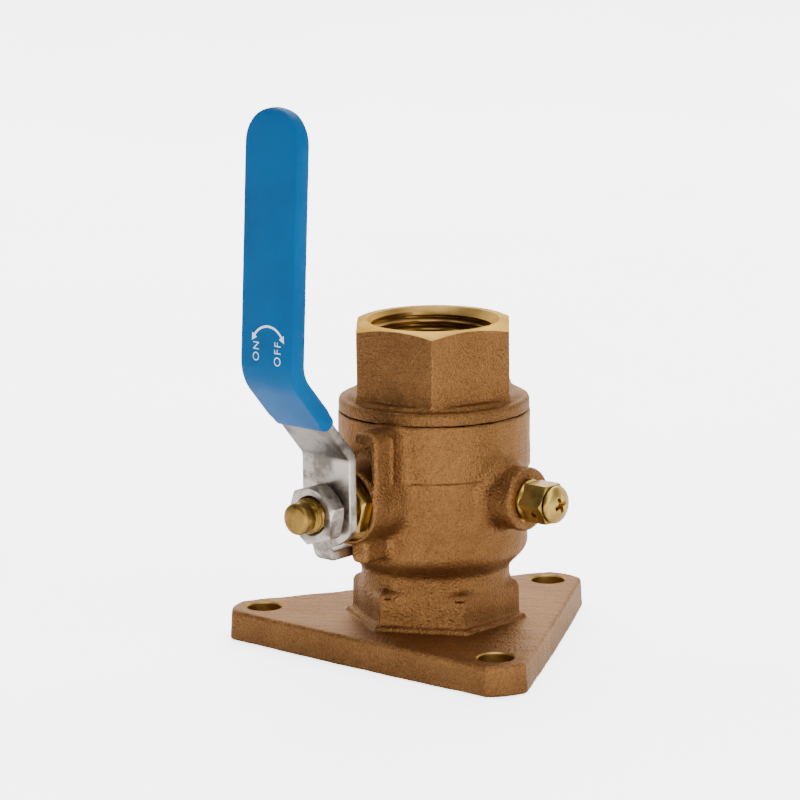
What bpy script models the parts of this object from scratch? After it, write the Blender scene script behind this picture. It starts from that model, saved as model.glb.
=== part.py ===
"""Flanged bronze seacock: a ball valve on a three-bolt hull flange, turned by a lever.

+Z runs along the flow, from the hull flange up to the hose port. The stem points along -Y
and the drain plug along +X. The origin is on the flow axis, in the flange's hull face.
Dimensions below are in millimetres, and MM turns them into Blender's metres.
"""
import math

import bmesh
import bpy
from mathutils import Matrix, Vector

MM = 0.001
GAP = 0.3  # play between neighbouring pieces
WELD_DISTANCE = 0.000005  # metres

# Flow path and ball
STEM_HEIGHT = 43.7  # stem and drain axes above the hull face
BALL_RADIUS = 19.5
FLOW_RADIUS = 12.6
PORT_RADIUS = 15.4  # crests of the 1 inch pipe thread
SEAT_RADIUS = 17.6
CAVITY_RADIUS = 20.8
SEAT_FLOOR = 16.8  # distance of each seat pocket's floor from the ball's centre

# Hull flange
FLANGE_THICKNESS = 8.1
FLANGE_CORNER_REACH = 52.4  # radial place of a lobe's corner centres
FLANGE_CORNER_OFFSET = 4.06  # and their place to each side of the lobe's middle
FLANGE_CORNER_RADIUS = 2.5
FLANGE_SIDE_BULGE = 0.48
FLANGE_TIP_BULGE = 0.7
FLANGE_DRAFT = 0.5
BOLT_CIRCLE_RADIUS = 46.5
BOLT_HOLE_RADIUS = 4.6
LOBE_ANGLES = (-30, 90, 210)

# Body casting
BODY_FLATS = 38.6
SKIRT_FLATS = 41.6
NECK_RADIUS = 19.5
BARREL_RADIUS = 25.1
BARREL_FOOT_RADIUS = 24.3  # below the parting line
PARTING_HEIGHT = 48.8
BARREL_TOP = 63.7
THREAD_RADIUS = 22.0  # screwed joint between body and tailpiece
JOINT_SEAL_RADIUS = 22.9

# Stem side, as distances out from the flow axis
BOSS_FACE = 34.8
BOSS_RADIUS = 10.1
COUNTERBORE_RADIUS = 9.2
COUNTERBORE_FLOOR = 32.6
PACKING_RADIUS = 7.0
PACKING_FLOOR = 26.0
EAR_FRONT = 34.3
EAR_TOP = 20.0  # above the stem axis, as is the lip
EAR_LIP = 17.1
EAR_WALL = 2.0
EAR_END = 2.2
STEM_RADIUS = 5.0
STEM_COLLAR_RADIUS = 7.6
STEM_COLLAR_FLOOR = 24.2
STEM_THREAD_RADIUS = 4.4
STEM_FLATS = 8.9
STEM_END = 54.2
GLAND_FLATS = 14.2
GLAND_FRONT = 36.6
GLAND_TURN = 14.0  # degrees from +X to the gland nut's first corner
PLATE_BACK = 39.5
PLATE_THICKNESS = 2.6
NUT_BACK = 43.3
NUT_HEIGHT = 5.0
NUT_FLATS = 14.29
NUT_TURN = 17.3  # degrees from +X to the nut's first corner

# Lever stops
LUG_FRONT = 32.8
OPEN_STOP = -0.2  # x of the face that the tab meets when open
CLOSED_STOP = 5.3  # height above the stem axis of the face it meets when closed
TAB_RIGHT = -0.5
TAB_LEFT = -5.0
TAB_END = 31.2

# Lever: centre line of the plate, as (distance out, height)
LEVER_HALF_WIDTH = 8.3
LOWER_BEND = (40.8, 58.5)
UPPER_BEND = (61.4, 81.7)
LEVER_TIP = (57.6, 148.3)
LOWER_BEND_RADIUS = 6.5
UPPER_BEND_RADIUS = 10.0
TAB_FACE = 12.55  # middle of the tab's thickness, below the stem axis
TAB_BEND_RADIUS = 2.6
GRIP_START = 0.44  # where the grip begins, as a share of the slope between the bends
GRIP_WALL = 1.0

# Tailpiece
TAIL_FLATS = 39.5
TAIL_HEX_TURN = -49.9  # degrees from +X to a corner
COLLAR_TOP = 67.2
HEX_FOOT = 68.3
RIM_HEIGHT = 87.3
MOUTH_RADIUS = 17.3

# Drain plug, as distances out along +X
DRAIN_BOSS_FACE = 32.4
DRAIN_BOSS_RADIUS = 8.3
DRAIN_FLATS = 10.0
DRAIN_END = 40.4

OUT_OF_BODY = (math.radians(90), 0, 0)  # turns local +Z to -Y
TO_DRAIN = (0, math.radians(90), 0)  # turns local +Z to +X
STEM_PLACE = (0, 0, STEM_HEIGHT)


def clear_scene():
    for old in list(bpy.data.objects):
        bpy.data.objects.remove(old)


def material(name, color, roughness, metallic):
    made = bpy.data.materials.new(name)
    made.use_nodes = True
    shader = made.node_tree.nodes["Principled BSDF"]
    shader.inputs["Base Color"].default_value = (*color, 1)
    shader.inputs["Roughness"].default_value = roughness
    shader.inputs["Metallic"].default_value = metallic
    made.diffuse_color = (*color, 1)
    return made


def place(name, shape, finish, location=(0, 0, 0), rotation=(0, 0, 0)):
    """Turn a bmesh into an object whose origin is at location, in millimetres."""
    bmesh.ops.recalc_face_normals(shape, faces=shape.faces)
    mesh = bpy.data.meshes.new(name)
    shape.to_mesh(mesh)
    shape.free()
    if finish:
        mesh.materials.append(finish)
    piece = bpy.data.objects.new(name, mesh)
    piece.location = Vector(location) * MM
    piece.rotation_euler = rotation
    bpy.context.scene.collection.objects.link(piece)
    return piece


def weld(mesh):
    """Merge the corners that a Boolean leaves within WELD_DISTANCE of each other."""
    shape = bmesh.new()
    shape.from_mesh(mesh)
    bmesh.ops.remove_doubles(shape, verts=shape.verts, dist=WELD_DISTANCE)
    bmesh.ops.dissolve_degenerate(shape, edges=shape.edges, dist=WELD_DISTANCE)
    shape.to_mesh(mesh)
    shape.free()


def combine(piece, tool, operation):
    """Apply one Boolean to piece and remove its tool."""
    modifier = piece.modifiers.new(operation, "BOOLEAN")
    modifier.operation = operation
    modifier.object = tool
    bpy.context.view_layer.update()
    evaluated = piece.evaluated_get(bpy.context.evaluated_depsgraph_get())
    result = bpy.data.meshes.new_from_object(evaluated)
    piece.modifiers.clear()
    weld(result)
    piece.data = result
    bpy.data.objects.remove(tool)


def cut(piece, shape, location=(0, 0, 0), rotation=(0, 0, 0)):
    combine(piece, place("cutter", shape, None, location, rotation), "DIFFERENCE")


def add(piece, shape, location=(0, 0, 0), rotation=(0, 0, 0)):
    combine(piece, place("addition", shape, None, location, rotation), "UNION")


def shade(piece, angle=30):
    piece.data.shade_smooth()
    piece.data.set_sharp_from_angle(angle=math.radians(angle))


def loft(rings, closed=False):
    """Skin through rings of points. A ring of one point is a pole; closed joins the ends."""
    shape = bmesh.new()
    rows = [[shape.verts.new(Vector(point) * MM) for point in ring] for ring in rings]
    pairs = list(zip(rows, rows[1:]))
    if closed:
        pairs.append((rows[-1], rows[0]))
    for first, second in pairs:
        count = max(len(first), len(second))
        for index in range(count):
            following = (index + 1) % count
            corners = [
                first[index % len(first)],
                first[following % len(first)],
                second[following % len(second)],
                second[index % len(second)],
            ]
            shape.faces.new(dict.fromkeys(corners))
    if not closed:
        for row in (rows[0], rows[-1]):
            if len(row) > 2:
                shape.faces.new(row)
    return shape


def circle(radius, height, steps):
    if radius == 0:
        return [(0, 0, height)]
    turns = [2 * math.pi * index / steps for index in range(steps)]
    return [(radius * math.cos(turn), radius * math.sin(turn), height) for turn in turns]


def turned(profile, steps=32, ring=False):
    """Revolve (radius, height) points about Z. A ring's profile goes all the way round."""
    return loft([circle(radius, height, steps) for radius, height in profile], ring)


def tube(inner, outer, bottom, top, steps=24):
    return turned([(inner, bottom), (outer, bottom), (outer, top), (inner, top)], steps, True)


def o_ring(radius, thickness, height, steps, sides=6):
    turns = [2 * math.pi * side / sides for side in range(sides)]
    section = [
        (radius + thickness * math.cos(turn), height + thickness * math.sin(turn)) for turn in turns
    ]
    return turned(section, steps, True)


def prism(outline, bottom, top):
    """Extrude an outline of (x, y) points along Z."""
    return loft([[(x, y, height) for x, y in outline] for height in (bottom, top)])


def arc_between(before, corner, after, radius, steps):
    """Round a corner of a path with an arc tangent to both of its sides."""
    corner = Vector(corner)
    back = (Vector(before) - corner).normalized()
    ahead = (Vector(after) - corner).normalized()
    half = back.angle(ahead) / 2
    centre = corner + (back + ahead).normalized() * radius / math.sin(half)
    start = corner + back * radius / math.tan(half) - centre
    sweep = math.pi - 2 * half
    sign = math.copysign(1, back.cross(start))
    points = []
    for index in range(steps + 1):
        points.append(centre + Matrix.Rotation(sign * sweep * index / steps, 2) @ start)
    return points


def hexagon(flats, turn=0):
    """Corners of a hexagon, the first one at turn degrees from +X."""
    reach = flats / 2 / math.cos(math.pi / 6)
    corners = [math.radians(turn + 60 * index) for index in range(6)]
    return [(reach * math.cos(corner), reach * math.sin(corner)) for corner in corners]


def hex_ring(flats, height, steps, turn):
    """A hexagon drawn with the same number of points as the round rings it meets."""
    ring = []
    for index in range(steps):
        angle = 2 * math.pi * index / steps
        from_middle = (angle - math.radians(turn)) % (math.pi / 3) - math.pi / 6
        reach = flats / 2 / math.cos(from_middle)
        ring.append((reach * math.cos(angle), reach * math.sin(angle), height))
    return ring


def chamfered_hex(name, finish, flats, span, edge_radius, drop, turn):
    """Solid hexagon whose corners are turned off in a cone at its top."""
    bottom, top = span
    nut = place(name, prism(hexagon(flats, turn), bottom, top), finish)
    slope = (flats / 2 * 1.16 - edge_radius) / drop
    reach = edge_radius + slope * (drop + 1)
    cone = [(0, bottom - 1), (reach, bottom - 1), (reach, top - drop - 1), (edge_radius, top), (0, top)]
    combine(nut, place("cone", turned(cone), None), "INTERSECT")
    return nut


def drill(piece, radius, bottom, top):
    cut(piece, turned([(0, bottom), (radius, bottom), (radius, top), (0, top)]))


def face_outward(piece):
    """Move a piece made about the world's Z onto the stem's axis."""
    piece.location = Vector(STEM_PLACE) * MM
    piece.rotation_euler = OUT_OF_BODY


def flange_outline(inset):
    """Three lobes with rounded corners, joined by slightly bowed sides."""
    radius = FLANGE_CORNER_RADIUS - inset
    stations = []
    for lobe in LOBE_ANGLES:
        for side in (-1, 1):
            centre = Vector((FLANGE_CORNER_REACH, side * FLANGE_CORNER_OFFSET))
            sweep = (-60, -40, -20, 0) if side < 0 else (0, 20, 40, 60)
            arc = []
            for degrees in sweep:
                turn = math.radians(degrees)
                arc.append(centre + radius * Vector((math.cos(turn), math.sin(turn))))
            spin = Matrix.Rotation(math.radians(lobe), 2)
            bulge = FLANGE_TIP_BULGE if side < 0 else FLANGE_SIDE_BULGE
            stations.append(([spin @ point for point in arc], bulge))
    outline = []
    for (arc, bulge), (following, _) in zip(stations, stations[1:] + stations[:1]):
        outline += arc
        start, end = arc[-1], following[0]
        outward = ((start + end) / 2).normalized()
        for share in (0.25, 0.5, 0.75):
            outline.append(start.lerp(end, share) + outward * bulge * 4 * share * (1 - share))
    return outline


def body_blank(finish):
    """Flange, hexagon, neck and barrel, without their bores."""
    levels = ((0, 0), (FLANGE_THICKNESS - 0.5, FLANGE_DRAFT), (FLANGE_THICKNESS, FLANGE_DRAFT + 0.5))
    rings = [[(*point, height) for point in flange_outline(inset)] for height, inset in levels]
    body = place("body", loft(rings), finish)
    steps = 48
    turn = 30
    column = [
        hex_ring(SKIRT_FLATS, FLANGE_THICKNESS - 2, steps, turn),
        hex_ring(SKIRT_FLATS, FLANGE_THICKNESS, steps, turn),
        hex_ring(BODY_FLATS + 1.4, 9.0, steps, turn),
        hex_ring(BODY_FLATS + 0.4, 10.4, steps, turn),
        hex_ring(BODY_FLATS, 12.0, steps, turn),
        hex_ring(BODY_FLATS, 17.2, steps, turn),
        hex_ring(BODY_FLATS - 0.8, 18.1, steps, turn),
        circle(NECK_RADIUS, 19.6, steps),
        circle(NECK_RADIUS, 22.3, steps),
        circle(BARREL_FOOT_RADIUS - 1.1, 26.1, steps),
        circle(BARREL_FOOT_RADIUS - 0.3, 27.8, steps),
        circle(BARREL_FOOT_RADIUS, 30.2, steps),
        circle(BARREL_FOOT_RADIUS, PARTING_HEIGHT - 0.4, steps),
        circle(BARREL_RADIUS, PARTING_HEIGHT + 0.4, steps),
        circle(BARREL_RADIUS, BARREL_TOP, steps),
    ]
    add(body, loft(column))
    for lobe in LOBE_ANGLES:
        turn = math.radians(lobe)
        spot = (BOLT_CIRCLE_RADIUS * math.cos(turn), BOLT_CIRCLE_RADIUS * math.sin(turn), 0)
        cut(body, turned([(0, -1), (BOLT_HOLE_RADIUS, -1), (BOLT_HOLE_RADIUS, 10), (0, 10)], 20), spot)
    return body


def rounded_outline(corners):
    """Outline through (x, y, radius) corners, each rounded by its radius."""
    outline = []
    for index, (x, y, radius) in enumerate(corners):
        before = corners[index - 1][:2]
        after = corners[(index + 1) % len(corners)][:2]
        if radius:
            outline += arc_between(before, (x, y), after, radius, 4)
        else:
            outline.append(Vector((x, y)))
    return outline


def add_stem_boss(body):
    """Round boss for the gland, and a hooked ear that rises from its right side."""
    half = BOSS_RADIUS
    room = half - EAR_WALL
    ear = [
        (half, 0, 0), (half, EAR_TOP, 3), (EAR_END, EAR_TOP - 0.6, 1.1), (EAR_END, EAR_LIP - 0.4, 1.0),
        (room, EAR_LIP, 1.4), (room, 0, 0),
    ]
    add(body, prism(rounded_outline(ear), 19, EAR_FRONT), STEM_PLACE, OUT_OF_BODY)
    boss = [
        (0, 19), (half + 1.4, 19), (half + 0.9, 22.8), (half + 0.4, 25), (half + 0.2, 28),
        (half + 0.02, BOSS_FACE - 0.5), (half - 0.5, BOSS_FACE), (0, BOSS_FACE),
    ]
    add(body, turned(boss, 36), STEM_PLACE, OUT_OF_BODY)


def add_stops(body):
    """Two lugs beside the boss that the lever's tab meets, open and closed."""
    right, bottom, rounding = 5.2, -15.3, 1.6
    open_stop = [
        (OPEN_STOP, -8, 0), (OPEN_STOP, bottom, rounding), (right, bottom, rounding), (right, -8, 0),
    ]
    add(body, prism(rounded_outline(open_stop), 19, LUG_FRONT), STEM_PLACE, OUT_OF_BODY)
    top = CLOSED_STOP + 5
    closed_stop = [
        (-8, CLOSED_STOP, 0), (-8, top, 0), (bottom, top, rounding), (bottom, CLOSED_STOP, rounding),
    ]
    add(body, prism(rounded_outline(closed_stop), 17, LUG_FRONT), STEM_PLACE, OUT_OF_BODY)


def add_drain_boss(body):
    boss = [
        (0, 19), (10.4, 19), (9.7, 23.2), (8.7, 24.8), (DRAIN_BOSS_RADIUS, 26.6),
        (DRAIN_BOSS_RADIUS, DRAIN_BOSS_FACE - 1.2), (DRAIN_BOSS_RADIUS - 0.4, DRAIN_BOSS_FACE - 0.4),
        (DRAIN_BOSS_RADIUS - 1.2, DRAIN_BOSS_FACE),
        (0, DRAIN_BOSS_FACE),
    ]
    add(body, turned(boss, 28), STEM_PLACE, TO_DRAIN)


def cut_body_bores(body):
    seat_floor = STEM_HEIGHT - SEAT_FLOOR
    flow = [
        (0, -1), (PORT_RADIUS + 1.2, -1), (PORT_RADIUS + 1.2, 0), (PORT_RADIUS, 1.2), (PORT_RADIUS, 19),
        (FLOW_RADIUS, 19), (FLOW_RADIUS, seat_floor), (SEAT_RADIUS, seat_floor),
        (SEAT_RADIUS, STEM_HEIGHT - 11.4), (CAVITY_RADIUS, STEM_HEIGHT - 9.4),
        (CAVITY_RADIUS, STEM_HEIGHT + 11.0), (THREAD_RADIUS, STEM_HEIGHT + 11.0),
        (THREAD_RADIUS, BARREL_TOP - 2.6), (JOINT_SEAL_RADIUS, BARREL_TOP - 2.6),
        (JOINT_SEAL_RADIUS, BARREL_TOP + 1), (0, BARREL_TOP + 1),
    ]
    cut(body, turned(flow, 40))
    stem_way = [
        (0, 12), (STEM_COLLAR_RADIUS + GAP, 12), (STEM_COLLAR_RADIUS + GAP, STEM_COLLAR_FLOOR),
        (STEM_RADIUS + GAP, STEM_COLLAR_FLOOR), (STEM_RADIUS + GAP, PACKING_FLOOR),
        (PACKING_RADIUS, PACKING_FLOOR), (PACKING_RADIUS, COUNTERBORE_FLOOR),
        (COUNTERBORE_RADIUS, COUNTERBORE_FLOOR), (COUNTERBORE_RADIUS, BOSS_FACE + 1),
        (0, BOSS_FACE + 1),
    ]
    cut(body, turned(stem_way, 32), STEM_PLACE, OUT_OF_BODY)
    drain_way = [
        (0, 12), (4.0, 12), (4.0, DRAIN_BOSS_FACE - 0.6), (5.8, DRAIN_BOSS_FACE - 0.6),
        (5.8, DRAIN_BOSS_FACE + 1), (0, DRAIN_BOSS_FACE + 1),
    ]
    cut(body, turned(drain_way, 20), STEM_PLACE, TO_DRAIN)


def make_body(bronze):
    body = body_blank(bronze)
    add_stem_boss(body)
    add_stops(body)
    add_drain_boss(body)
    cut_body_bores(body)
    shade(body)


def make_tailpiece(bronze, rubber):
    """Hexagonal hose end, screwed into the barrel against an O-ring."""
    steps = 40
    seat_floor = STEM_HEIGHT + SEAT_FLOOR
    outside = [
        circle(THREAD_RADIUS - GAP, STEM_HEIGHT + 11.6, steps),
        circle(THREAD_RADIUS - GAP, BARREL_TOP - 2.6, steps),
        circle(THREAD_RADIUS - 1.3, BARREL_TOP - 2.3, steps),
        circle(THREAD_RADIUS - 1.3, BARREL_TOP + GAP, steps),
        circle(BARREL_RADIUS - 0.2, BARREL_TOP + GAP, steps),
        circle(BARREL_RADIUS - 0.2, COLLAR_TOP - 1.1, steps),
        circle(BARREL_RADIUS - 1.2, COLLAR_TOP, steps),
        circle(23.2, HEX_FOOT, steps),
        circle(20.4, HEX_FOOT + 0.1, steps),
        circle(19.4, HEX_FOOT + 2, steps),
    ]
    tail = place("tailpiece", loft(outside), bronze)
    span = (HEX_FOOT - 0.6, RIM_HEIGHT)
    combine(tail, chamfered_hex("hexagon", None, TAIL_FLATS, span, 19.4, 1.5, TAIL_HEX_TURN), "UNION")
    bore = [
        (0, 50), (SEAT_RADIUS, 50), (SEAT_RADIUS, seat_floor), (FLOW_RADIUS, seat_floor),
        (FLOW_RADIUS, 69), (PORT_RADIUS, 69), (PORT_RADIUS, RIM_HEIGHT - 1.8),
        (MOUTH_RADIUS, RIM_HEIGHT), (MOUTH_RADIUS, RIM_HEIGHT + 1), (0, RIM_HEIGHT + 1),
    ]
    cut(tail, turned(bore, 40))
    shade(tail)
    seal = place("tailpiece_o_ring", o_ring(21.8, 0.75, BARREL_TOP - 1.2, 32), rubber)
    shade(seal, 60)


def make_ball(chrome, plastic):
    """Ball with its flow bore along Z when open, a slot for the stem, and two seats."""
    rings = 14
    half = BALL_RADIUS
    end = math.acos(math.sqrt(half**2 - FLOW_RADIUS**2) / half)
    angles = [end + (math.pi - 2 * end) * index / rings for index in range(rings + 1)]
    profile = [(half * math.sin(angle), -half * math.cos(angle)) for angle in angles]
    profile[0] = (FLOW_RADIUS, profile[0][1])
    profile[-1] = (FLOW_RADIUS, profile[-1][1])
    ball = place("ball", turned(profile, 36, True), chrome, STEM_PLACE)
    slot = [(-21, -3.0), (21, -3.0), (21, 3.0), (-21, 3.0)]
    cut(ball, prism(slot, 15.7, 21), STEM_PLACE, OUT_OF_BODY)
    shade(ball)
    reach = BALL_RADIUS + GAP
    outer = SEAT_RADIUS - GAP
    inner = FLOW_RADIUS + GAP
    far = SEAT_FLOOR - GAP
    lip = math.sqrt(reach**2 - 15.9**2)
    contact = [(radius, math.sqrt(reach**2 - radius**2)) for radius in (15.9, 14.4, inner)]
    for name, side in (("seat_lower", -1), ("seat_upper", 1)):
        section = [(inner, far), (outer, far), (outer, lip)] + contact
        shape = turned([(radius, side * distance) for radius, distance in section], 32, True)
        shade(place(name, shape, plastic, STEM_PLACE))


def make_stem(brass, plastic):
    stem_profile = [
        (0, 16.0), (STEM_COLLAR_RADIUS, 16.0), (STEM_COLLAR_RADIUS, STEM_COLLAR_FLOOR - 1.3),
        (STEM_RADIUS, STEM_COLLAR_FLOOR - 1.3), (STEM_RADIUS, PLATE_BACK + PLATE_THICKNESS - GAP),
        (STEM_THREAD_RADIUS, PLATE_BACK + PLATE_THICKNESS - GAP), (STEM_THREAD_RADIUS, STEM_END - 0.9),
        (STEM_THREAD_RADIUS - 0.6, STEM_END), (0, STEM_END),
    ]
    stem = place("stem", turned(stem_profile, 28), brass, STEM_PLACE, OUT_OF_BODY)
    for side in (-1, 1):
        beside_tang = [(-9, side * 2.7), (9, side * 2.7), (9, side * 9), (-9, side * 9)]
        cut(stem, prism(beside_tang, 15, 20.6), STEM_PLACE, OUT_OF_BODY)
        half = STEM_FLATS / 2
        flat = [(side * half, -7), (side * 7, -7), (side * 7, 7), (side * half, 7)]
        cut(stem, prism(flat, PLATE_BACK - GAP, PLATE_BACK + PLATE_THICKNESS), STEM_PLACE, OUT_OF_BODY)
    shade(stem)
    bore = STEM_RADIUS + GAP
    washer = tube(bore, STEM_COLLAR_RADIUS, STEM_COLLAR_FLOOR - 1.0, STEM_COLLAR_FLOOR - GAP)
    shade(place("thrust_washer", washer, plastic, STEM_PLACE, OUT_OF_BODY))


def make_gland(brass, plastic):
    """Three packing rings and a follower, squeezed by the gland nut."""
    bore = STEM_RADIUS + GAP
    outer = PACKING_RADIUS - GAP
    thickness = 0.9
    bottom = PACKING_FLOOR + GAP
    for name in ("packing_ring_lower", "packing_ring_middle", "packing_ring_upper"):
        shade(place(name, tube(bore, outer, bottom, bottom + thickness), plastic, STEM_PLACE, OUT_OF_BODY))
        bottom += thickness + GAP
    follower = tube(bore, outer, bottom, bottom + thickness)
    shade(place("gland_follower", follower, brass, STEM_PLACE, OUT_OF_BODY))
    bottom += thickness + GAP
    span = (COUNTERBORE_FLOOR + GAP, GLAND_FRONT)
    nut = chamfered_hex("gland_nut", brass, GLAND_FLATS, span, 7.0, 0.6, GLAND_TURN)
    spigot_top = COUNTERBORE_FLOOR + 1
    add(nut, turned([(0, bottom), (outer, bottom), (outer, spigot_top), (0, spigot_top)]))
    drill(nut, bore, bottom - 1, GLAND_FRONT + 1)
    face_outward(nut)
    shade(nut)


def lever_spine():
    """Centre line of the bent plate from the lower bend to the tip, as (out, height)."""
    foot = (LOWER_BEND[0], STEM_HEIGHT)
    spine = [Vector((LOWER_BEND[0], STEM_HEIGHT + 8))]
    spine += arc_between(foot, LOWER_BEND, UPPER_BEND, LOWER_BEND_RADIUS, 5)
    slope_start, slope_end = Vector(LOWER_BEND), Vector(UPPER_BEND)
    spine.append(slope_start.lerp(slope_end, GRIP_START))
    spine += arc_between(LOWER_BEND, UPPER_BEND, LEVER_TIP, UPPER_BEND_RADIUS, 5)
    return spine


def ribbon(stations, half_thickness, bevel):
    """Skin a strip. Each station is (centre, left x, right x), the centre as (out, height)."""
    rings = []
    centres = [centre for centre, _, _ in stations]
    for index, (centre, left, right) in enumerate(stations):
        before = centres[max(index - 1, 0)]
        after = centres[min(index + 1, len(centres) - 1)]
        along = (after - before).normalized()
        across = Vector((along.y, -along.x)) * half_thickness
        inner = across * (1 - bevel / half_thickness)
        ring = []
        for x, offset in (
            (left, inner), (left + bevel, across), (right - bevel, across), (right, inner),
            (right, -inner), (right - bevel, -across), (left + bevel, -across), (left, -inner),
        ):
            spot = centre + offset
            ring.append((x, -spot.x, spot.y))
        rings.append(ring)
    return loft(rings)


def tip_stations(half_width, extra):
    """Half-round end of the lever, half_width wide, extra past the plate's own tip."""
    tip = Vector(LEVER_TIP)
    along = (tip - Vector(UPPER_BEND)).normalized()
    end = tip + along * extra
    centre = end - along * half_width
    stations = [(centre, -half_width, half_width)]
    for degrees in (20, 40, 58, 73, 84):
        turn = math.radians(degrees)
        reach = half_width * math.cos(turn)
        stations.append((centre + along * half_width * math.sin(turn), -reach, reach))
    return stations


def tab_stations():
    """The stop tab, folded back under the plate, then the plate widening to full width."""
    out = LOWER_BEND[0]
    fold = (out, STEM_HEIGHT - TAB_FACE)
    inner_end = (TAB_END, STEM_HEIGHT - TAB_FACE)
    above = (out, STEM_HEIGHT)
    stations = [(Vector(inner_end), TAB_LEFT, TAB_RIGHT)]
    for point in arc_between(inner_end, fold, above, TAB_BEND_RADIUS, 4):
        stations.append((point, TAB_LEFT, TAB_RIGHT))
    widths = (
        (-9.3, -5.6, 1.6), (-8.2, -6.5, 4.0), (-6.8, -7.6, 6.3), (-5.2, -LEVER_HALF_WIDTH, 7.8),
        (-4.2, -LEVER_HALF_WIDTH, LEVER_HALF_WIDTH), (0, -LEVER_HALF_WIDTH, LEVER_HALF_WIDTH),
    )
    for height, left, right in widths:
        stations.append((Vector((out, STEM_HEIGHT + height)), left, right))
    return stations


def make_handle(steel):
    spine = [(point, -LEVER_HALF_WIDTH, LEVER_HALF_WIDTH) for point in lever_spine()]
    stations = tab_stations() + spine + tip_stations(LEVER_HALF_WIDTH, 0)
    shape = ribbon(stations, PLATE_THICKNESS / 2, 0.25)
    shape.transform(Matrix.Translation((0, 0, -STEM_HEIGHT * MM)))
    handle = place("handle", shape, steel, STEM_PLACE)
    outline = []
    flat = STEM_FLATS / 2 + GAP
    reach = STEM_RADIUS + GAP
    limit = math.acos(flat / reach)
    for start, end in ((limit, math.pi - limit), (math.pi + limit, 2 * math.pi - limit)):
        for index in range(13):
            turn = start + (end - start) * index / 12
            outline.append((reach * math.cos(turn), reach * math.sin(turn)))
    hole = prism(outline, PLATE_BACK - 2, PLATE_BACK + PLATE_THICKNESS + 2)
    cut(handle, hole, STEM_PLACE, OUT_OF_BODY)
    shade(handle)


def make_grip(vinyl):
    """Dipped sleeve over the upper part of the lever, open at its lower end."""
    cover = LEVER_HALF_WIDTH + GRIP_WALL
    spine = lever_spine()[7:]
    stations = [(point, -cover, cover) for point in spine] + tip_stations(cover, GRIP_WALL)
    grip = ribbon(stations, PLATE_THICKNESS / 2 + GRIP_WALL, 1.1)
    grip.transform(Matrix.Translation((0, 0, -STEM_HEIGHT * MM)))
    sleeve = place("handle_grip", grip, vinyl, STEM_PLACE)
    room = LEVER_HALF_WIDTH + GAP
    run_out = spine[0] * 2 - spine[1].lerp(spine[0], 0.5)
    inside = [(run_out, -room, room)] + [(point, -room, room) for point in spine]
    hollow = ribbon(inside + tip_stations(room, GAP), PLATE_THICKNESS / 2 + GAP, 0.25)
    cut(sleeve, hollow)
    shade(sleeve, 40)


def make_handle_fasteners(steel):
    washer = tube(STEM_THREAD_RADIUS + GAP, 6.3, PLATE_BACK + PLATE_THICKNESS + GAP, NUT_BACK - GAP)
    shade(place("lock_washer", washer, steel, STEM_PLACE, OUT_OF_BODY))
    front = NUT_BACK + NUT_HEIGHT
    nut = chamfered_hex("handle_nut", steel, NUT_FLATS, (NUT_BACK, front), 7.0, 1.0, NUT_TURN)
    drill(nut, STEM_THREAD_RADIUS + GAP, NUT_BACK - 1, front + 1)
    face_outward(nut)
    shade(nut)


def make_drain(brass, rubber):
    """Drain fitting with a weep hole, closed by a cross-head screw on an O-ring."""
    blank = [
        (0, 22.5), (3.7, 22.5), (3.7, DRAIN_BOSS_FACE - GAP), (5.4, DRAIN_BOSS_FACE - GAP),
        (5.4, 33.4), (3.7, 33.6), (0, 33.6),
    ]
    span = (DRAIN_BOSS_FACE + 0.4, DRAIN_END)
    fitting = chamfered_hex("drain_fitting", brass, DRAIN_FLATS, span, 5.0, 0.45, 30)
    add(fitting, turned(blank))
    bore = [
        (0, 22), (1.0, 22), (1.0, 31.0), (2.4, 31.0), (2.4, 39.1), (3.5, 39.1),
        (3.5, DRAIN_END + 1), (0, DRAIN_END + 1),
    ]
    cut(fitting, turned(bore, 20))
    fitting.location = Vector(STEM_PLACE) * MM
    fitting.rotation_euler = TO_DRAIN
    weep = turned([(0, 1.5), (0.7, 1.5), (0.7, 7.0), (0, 7.0)], 12)
    cut(fitting, weep, (37.4, 0, STEM_HEIGHT), (math.radians(120), 0, 0))
    shade(fitting)
    seal = o_ring(2.85, 0.35, 39.8, 20)
    shade(place("drain_screw_o_ring", seal, rubber, STEM_PLACE, TO_DRAIN), 60)
    head = DRAIN_END + 0.35
    screw_profile = [
        (0, 31.4), (1.4, 31.4), (2.1, 32.2), (2.1, head), (4.8, head), (4.9, head + 0.5),
        (4.5, head + 1.0), (3.6, head + 1.5), (2.2, head + 1.9), (0, head + 2.05),
    ]
    screw = place("drain_screw", turned(screw_profile, 24), brass, STEM_PLACE, TO_DRAIN)
    for turn in (12, 102):
        along = Matrix.Rotation(math.radians(turn), 2)
        arm = [along @ Vector(corner) for corner in ((-1.7, -0.4), (1.7, -0.4), (1.7, 0.4), (-1.7, 0.4))]
        cut(screw, prism(arm, head + 0.6, head + 3), STEM_PLACE, TO_DRAIN)
    shade(screw)


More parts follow.
